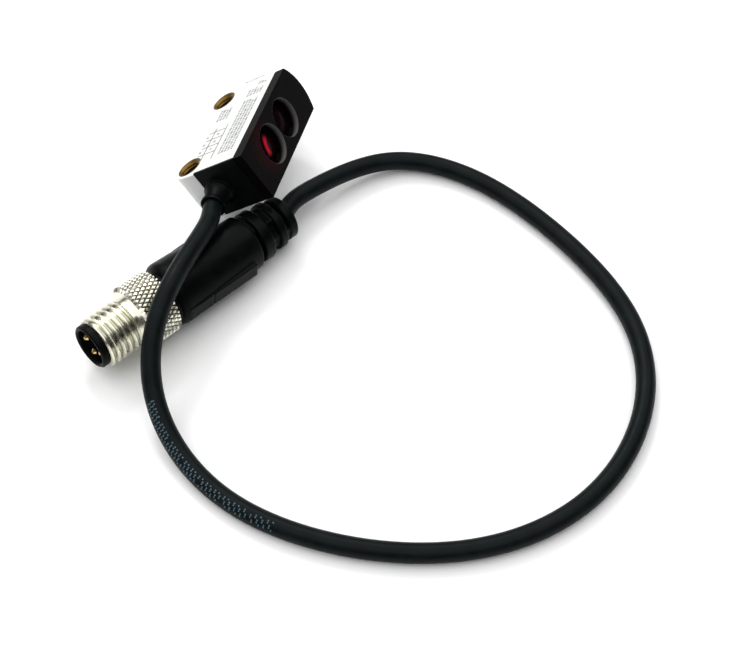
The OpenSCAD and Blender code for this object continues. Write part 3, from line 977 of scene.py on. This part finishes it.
@dataclass
class SensorHousing:
    """White shell with two threaded brass inserts and plain grey marks.

    The heading is left, right, low and high, a group of mark rows left, rows, low and high.
    """

    length: float = 21.2
    thickness: float = 8.2
    edge: float = 0.18
    insert_edge: float = 2.5
    insert_r: float = 2.0
    insert_margin: float = 0.1
    mouth_r: float = 1.8
    thread: ThreadForm = field(default_factory=lambda: ThreadForm(
        pitch=0.5, root_r=1.5, crest_r=1.25, root_flat=0.2, crest_flat=0.08))
    thread_steps: int = 32
    heading: tuple[float, float, float, float] = (5.6, 9.5, 21.45, 21.8)
    mark_rows: tuple[tuple[float, int, float, float], ...] = (
        (7.6, 5, 3.0, 15.9), (7.6, 5, 16.9, 19.1), (3.2, 4, 12.9, 15.8), (9.0, 3, 19.4, 20.4))
    row_step: float = 0.62
    dash_lengths: tuple[float, ...] = (0.5, 0.3, 0.7, 0.35, 0.45, 0.9, 0.3)
    dash_gap: float = 0.14
    dash_width: float = 0.46
    line_width: float = 0.3
    rails: Pair = (4.2, 6.4)
    rail_ends: Pair = (2.6, 10.9)
    rungs: tuple[float, ...] = (4.4, 6.2, 8.0, 9.8)
    rung_ends: Pair = (3.2, 6.6)
    square: float = 0.5
    square_x: Pair = (3.0, 5.1)
    square_y: tuple[float, ...] = (5.2, 7.0, 8.8)
    mark_sunk: float = 0.02
    mark_proud: float = 0.004

    def outer(self, point: Vector) -> bool:
        """Tell whether a point lies on the shell's outer edges and off the insert holes.

        Args:
            point: A point in millimetres.

        Returns:
            Whether it does.
        """
        near_hole = any(
            math.hypot(point.x - self.insert_edge, point.y - y) < self.insert_r + self.insert_margin
            for y in (self.insert_edge, self.length - self.insert_edge))
        return not NEAR <= point.z <= self.thickness - NEAR and not near_hole

    def shell(self) -> None:
        """Make the shell with rounded outer edges."""
        shape = Shape.copied("housing", ON_HOUSING)
        shape.soften(self.edge, EDGE_FACES, self.outer)
        shape.made("housing_shell", WHITE_SHELL, ON_HOUSING, instead_of=["housing"], even=True)

    def least(self, height: float) -> float:
        """Return the radius that an insert's countersinks leave at a height."""
        return max(self.thread.crest_r, self.mouth_r - min(height, self.thickness - height))

    def insert(self, node: str, along: float) -> None:
        """Make one brass insert with its inside thread.

        Args:
            node: The CAD node that it stands for.
            along: Its place along the housing.
        """
        origin = tuple(ON_HOUSING.point(self.insert_edge, along, 0) / MM)
        place = Place(node, origin, ON_HOUSING.turns)
        shape = Threaded()
        shape.helix(
            self.thread, 0, self.thickness, self.least, inward=True, steps=self.thread_steps)
        shape.wall(0, self.thickness, self.insert_r)
        shape.made(f"{node}_threaded", BRASS, place, instead_of=[node], sharp=30)

    def dashes(self, start: float, end: float, shift: int) -> Iterable[Pair]:
        """Yield the plain dashes of one row.

        Args:
            start: Where the row begins.
            end: Where it ends at most.
            shift: Number of dash lengths that it leaves out first.

        Yields:
            Where each dash begins and ends.
        """
        at = start
        for length in islice(cycle(self.dash_lengths), shift, None):
            if at + length > end:
                return
            yield at, at + length
            at += length + self.dash_gap

    def marks(self) -> None:
        """Lay plain grey dashes, lines and squares on the side face."""
        left, right, low, high = self.heading
        bars = [(start, low, end, high) for start, end in self.dashes(left, right, 2)]
        for left, rows, low, high in self.mark_rows:
            for row in range(rows):
                x = left + row * self.row_step
                bars += [(x, start, x + self.dash_width, end)
                         for start, end in self.dashes(low, high, 2 * row)]
        low, high = self.rail_ends
        bars += [(x, low, x + self.line_width, high) for x in self.rails]
        left, right = self.rung_ends
        bars += [(left, y, right, y + self.line_width) for y in self.rungs]
        bars += [(x, y, x + self.square, y + self.square)
                 for x in self.square_x for y in self.square_y]
        shape = Shape()
        for left, low, right, high in bars:
            shape.block((left, low, self.thickness - self.mark_sunk),
                        (right, high, self.thickness + self.mark_proud))
        shape.made("side_marks", GREY_MARKS, ON_HOUSING)

    def make(self) -> None:
        """Make the shell, the inserts and the marks."""
        self.shell()
        self.insert("near_insert", self.insert_edge)
        self.insert("far_insert", self.length - self.insert_edge)
        self.marks()


@dataclass
class OpticsFront:
    """Dark cover with two lens openings, and the lens plate behind it."""

    edge: float = 0.15
    edges_from: float = 11.69
    plate: tuple[Point, Point] = ((10.9, 4.4, 1.6), (11.7, 17.3, 6.6))
    lens_r: float = 2.9
    lens_sunk: float = 0.3
    dome: float = 0.8
    dome_steps: int = 10

    def lenses(self) -> None:
        """Make the two smooth lens domes on their plate."""
        shape = Shape()
        shape.block(*self.plate)
        shape.settled(UNMOVED)
        ball_r = (self.lens_r ** 2 + self.dome ** 2) / (2 * self.dome)
        half_angle = math.asin(self.lens_r / ball_r)
        angles = [half_angle * k / self.dome_steps for k in range(self.dome_steps, -1, -1)]
        arc = [(ball_r * math.sin(a), self.dome - ball_r * (1 - math.cos(a))) for a in angles]
        facing = Matrix.Rotation(math.pi / 2, 4, "Y")
        for y in LENS_Y:
            at = Matrix.Translation((self.plate[1][0], y, LENS_Z)) @ facing
            shape.turn([(0, -self.lens_sunk), (self.lens_r, -self.lens_sunk), *arc], at=at)
        shape.made("lenses", LENS_RED, ON_HOUSING, instead_of=["lens_plate"], sharp=35)

    def make(self) -> None:
        """Make the cover and the lenses."""
        shape = Shape.copied("front_cover", ON_HOUSING)
        shape.soften(self.edge, EDGE_FACES, lambda p: p.x > self.edges_from)
        shape.made("optics_cover", BLACK_COVER, ON_HOUSING, instead_of=["front_cover"], even=True)
        self.lenses()


@dataclass
class CableEnd:
    """Black end cap and the nipple that the cable leaves by."""

    edge: float = 0.16
    edges_to: float = 0.39
    outline: Outline = (
        (0, -0.05), (2.3, -0.05), (2.3, 0.35), (2.12, 0.42), (2.12, 0.58), (2.25, 0.65),
        (2.25, 0.95), (2.0, 1.15), (1.65, 2.85), (1.88, 3.0), (1.88, 3.6), (1.5, 3.6),
        (1.5, 2.9), (0, 2.9))
    outline_edge: float = 0.05

    def make(self) -> None:
        """Make the cap and the nipple."""
        shape = Shape.copied("end_cap", ON_HOUSING)
        shape.soften(self.edge, EDGE_FACES, lambda p: p.y < self.edges_to)
        shape.made("cap", BLACK_CAP, ON_HOUSING, instead_of=["end_cap"], even=True)
        facing = Matrix.Rotation(math.pi / 2, 4, "X")
        at = Matrix.Translation((NIPPLE_X, 0, NIPPLE_Z)) @ facing
        nipple = Shape()
        nipple.turn(self.outline, at=at)
        nipple.soften(self.outline_edge)
        nipple.made("nipple", BLACK_RUBBER, ON_HOUSING, instead_of=["cable_nipple"], sharp=30)


@dataclass
class CouplingScrew:
    """The nickel-plated screw: an outside thread and a knurled grip.

    The knurl's peaks are cut flat by a percentage of the edges that meet there.
    """

    front: float = 1.15
    thread_end: float = 6.6
    thread: ThreadForm = field(default_factory=lambda: ThreadForm(
        pitch=1.02, root_r=3.45, crest_r=3.9))
    chamfer: float = 0.4
    run_out: float = 1.3
    bore_r: float = 3.1
    neck_r: float = 3.5
    neck_end: float = 7.5
    knurl_r: float = 5.1
    knurl_depth: float = 0.42
    knurl_start: float = 7.95
    knurl_end: float = 12.45
    start_chamfer: float = 0.65
    end_chamfer: float = 0.5
    end: float = 12.6
    ridges: int = 42
    rows: int = 7
    flat_percent: float = 42

    def greatest(self, height: float) -> float:
        """Return the radius that the chamfers leave at a height."""
        from_end = min(height - self.front, (self.thread_end - height) * self.run_out)
        return min(self.thread.crest_r, self.thread.crest_r - self.chamfer + max(from_end, 0))

    def threaded_sleeve(self) -> Piece:
        """Make the thread as a true helix on its sleeve.

        Returns:
            The sleeve.
        """
        shape = Threaded()
        shape.helix(self.thread, self.front, self.thread_end, self.greatest)
        shape.wall(self.front, self.thread_end, self.bore_r)
        return shape.made("screw_thread", NICKEL, ON_PLUG, Body.SCREW, ["coupling_screw"], sharp=50)

    def knurled_grip(self) -> Piece:
        """Make the grip with its diamond knurl.

        Returns:
            The grip.
        """
        shape = Shape()
        spacing = (self.knurl_end - self.knurl_start) / self.rows
        band = [(self.knurl_r, self.knurl_start + spacing * row) for row in range(self.rows + 1)]
        shape.turn([
            (self.bore_r, self.thread_end), (self.neck_r, self.thread_end),
            (self.neck_r, self.neck_end), (self.knurl_r - self.start_chamfer, self.neck_end),
            *band, (self.knurl_r - self.end_chamfer, self.end), (self.bore_r, self.end)],
            2 * self.ridges)
        peaks, valleys = [], []
        for vert in shape.bm.verts:
            radius = math.hypot(vert.co.x, vert.co.y)
            row = round((vert.co.z - self.knurl_start) / spacing)
            if radius < self.knurl_r - NEAR or not 0 <= row <= self.rows:
                continue
            turn = math.atan2(vert.co.y, vert.co.x) / math.tau
            if (row + round(turn * 2 * self.ridges)) % 2:
                scale = 1 - self.knurl_depth / self.knurl_r
                vert.co.x, vert.co.y = vert.co.x * scale, vert.co.y * scale
                valleys.append(vert)
            else:
                peaks.append(vert)
        bmesh.ops.connect_verts(shape.bm, verts=valleys)
        bmesh.ops.bevel(
            shape.bm, geom=peaks, offset=self.flat_percent, offset_type="PERCENT", segments=1,
            profile=0.5, affect="VERTICES", material=-1, clamp_overlap=True)
        return shape.made(
            "screw_grip", KNURLED_NICKEL, ON_PLUG, Body.SCREW, ["coupling_screw"], sharp=12)

    def make(self) -> list[Piece]:
        """Make both halves of the screw."""
        return [self.threaded_sleeve(), self.knurled_grip()]


@dataclass
class ScrewPlug:
    """Round plug: contacts in their carrier and the moulded boot.

    A ring of the bend relief is its start, end and radius. Its two webs join the rings.
    """

    start: float = 12.7
    collar_r: float = 4.1
    collar_steps: int = 6
    shoulder: float = 13.4
    collar_end: float = 14.6
    half: float = 4.95
    body_end: float = 28.9
    body_end_r: float = 4.3
    body_chamfer: float = 0.4
    rib_start: float = 14.2
    rib_end: float = 26.8
    rib_half: float = 1.3
    rib_reach: float = 4.9
    notch: Pair = (18.4, 18.7)
    notch_depth: float = 0.25
    rings: tuple[Point, ...] = ((29.5, 31.3, 4.0), (32.7, 33.95, 3.75), (34.75, 36.2, 3.4))
    ring_edge: float = 0.15
    core_r: float = 2.4
    core: Pair = (28.4, 36.1)
    web_half: float = 1.2
    web_reach: Pair = (3.2, 3.0)
    flat_web: Pair = (28.7, 32.9)
    cross_web: Pair = (31.2, 34.9)
    voxel: float = 0.12
    flow: float = 0.5
    flow_turns: int = 5
    carrier_edge: float = 0.06
    carrier_rim: float = 1.0
    boot_steps: int = 72
    core_steps: int = 48

    def boot(self) -> Piece:
        """Make the boot as one soft moulding: body, ribs and bend relief.

        Returns:
            The boot.
        """
        shape = Shape()
        quarter = [math.radians(90 * k / self.collar_steps) for k in range(self.collar_steps + 1)]
        collar = [
            (self.collar_r + (self.half - self.collar_r) * math.sin(a),
             self.shoulder + (self.collar_end - self.shoulder) * (1 - math.cos(a)))
            for a in quarter]
        shape.turn([
            (0, self.start), (self.collar_r, self.start), *collar,
            (self.body_end_r, self.body_end - self.body_chamfer),
            (self.body_end_r - self.body_chamfer, self.body_end), (0, self.body_end)],
            self.boot_steps)
        for side in (-1, 1):
            self.rib(shape, side)
        self.bend_relief(shape)
        piece = shape.made("boot", BLACK_RUBBER, ON_PLUG, instead_of=["plug_boot"])
        moulding = piece.modifiers.new("moulding", "REMESH")
        moulding.mode = "VOXEL"
        moulding.voxel_size = self.voxel * MM
        moulding.use_smooth_shade = True
        flow = piece.modifiers.new("flow", "SMOOTH")
        flow.factor = self.flow
        flow.iterations = self.flow_turns
        return piece

    def rib(self, shape: Shape, side: int) -> None:
        """Add the flat-faced rib down one side, parted by its notch.

        Args:
            shape: The boot.
            side: -1 or 1.
        """
        for start, end, depth in (
                (self.rib_start, self.notch[0], 0), (*self.notch, self.notch_depth),
                (self.notch[1], self.rib_end, 0)):
            reach = sorted((0.0, side * (self.rib_reach - depth)))
            shape.block((-self.rib_half, reach[0], start), (self.rib_half, reach[1], end))

    def bend_relief(self, shape: Shape) -> None:
        """Add the rings, the core that carries them and the webs between them.

        Args:
            shape: The boot.
        """
        edge = self.ring_edge
        for start, end, radius in self.rings:
            shape.turn([
                (0, start), (radius - edge, start), (radius, start + edge),
                (radius, end - edge), (radius - edge, end), (0, end)], self.boot_steps)
        low, high = self.core
        shape.turn(
            [(0, low), (self.core_r, low), (self.core_r, high), (0, high)], self.core_steps)
        half, (wide, tall) = self.web_half, self.web_reach
        shape.block((-wide, -half, self.flat_web[0]), (wide, half, self.flat_web[1]))
        shape.block((-half, -tall, self.cross_web[0]), (half, tall, self.cross_web[1]))

    def carrier(self) -> Piece:
        """Make the contact carrier with its rim softened.

        Returns:
            The carrier.
        """
        shape = Shape.copied("contact_carrier", ON_PLUG)
        shape.soften(self.carrier_edge, chosen=lambda p: p.z < self.carrier_rim, sharp=30)
        return shape.made("carrier", BLACK_CAP, ON_PLUG, instead_of=["contact_carrier"], even=True)

    def make(self) -> list[Piece | str]:
        """Make the plug's pieces.

        Returns:
            All that go with the cable.
        """
        moulded = [self.boot(), self.carrier()]
        pins = ["contact_pin_1", "contact_pin_3", "contact_pin_4"]
        for pin in pins:
            cover_node(pin, GOLD, ON_PLUG)
        return [*moulded, *pins, *CouplingScrew().make()]


@dataclass
class Electronics:
    """Boards, light parts and wires inside the housing, each with its finish."""

    finishes: tuple[tuple[str, Finish], ...] = (
        ("optics_board", BOARD_LACQUER), ("main_board", BOARD_LACQUER),
        ("signal_chip", CHIP_RESIN), ("receiver_chip", CHIP_RESIN),
        ("emitter_led", LED_RESIN), ("status_led", LED_RESIN),
        ("supply_capacitor", CERAMIC), ("optics_holder", BLACK_CAP),
        ("brown_wire", BROWN_SLEEVE), ("blue_wire", BLUE_SLEEVE), ("black_wire", JACKET))

    def make(self) -> None:
        """Dress the hidden parts."""
        for node, finish in self.finishes:
            cover_node(node, finish, ON_HOUSING)


def main() -> None:
    """Build every sub-assembly in order, then the floor and the lights."""
    logging.basicConfig(level=logging.INFO, format="%(name)s: %(message)s")
    studio = Studio()
    studio.camera()
    lead = Lead()
    cable = lead.make()
    SensorHousing().make()
    OpticsFront().make()
    CableEnd().make()
    lead.declare(cable, [lead.marks(), *ScrewPlug().make()])
    Electronics().make()
    studio.floor()
    studio.lights()


if __name__ == "__main__":
    main()
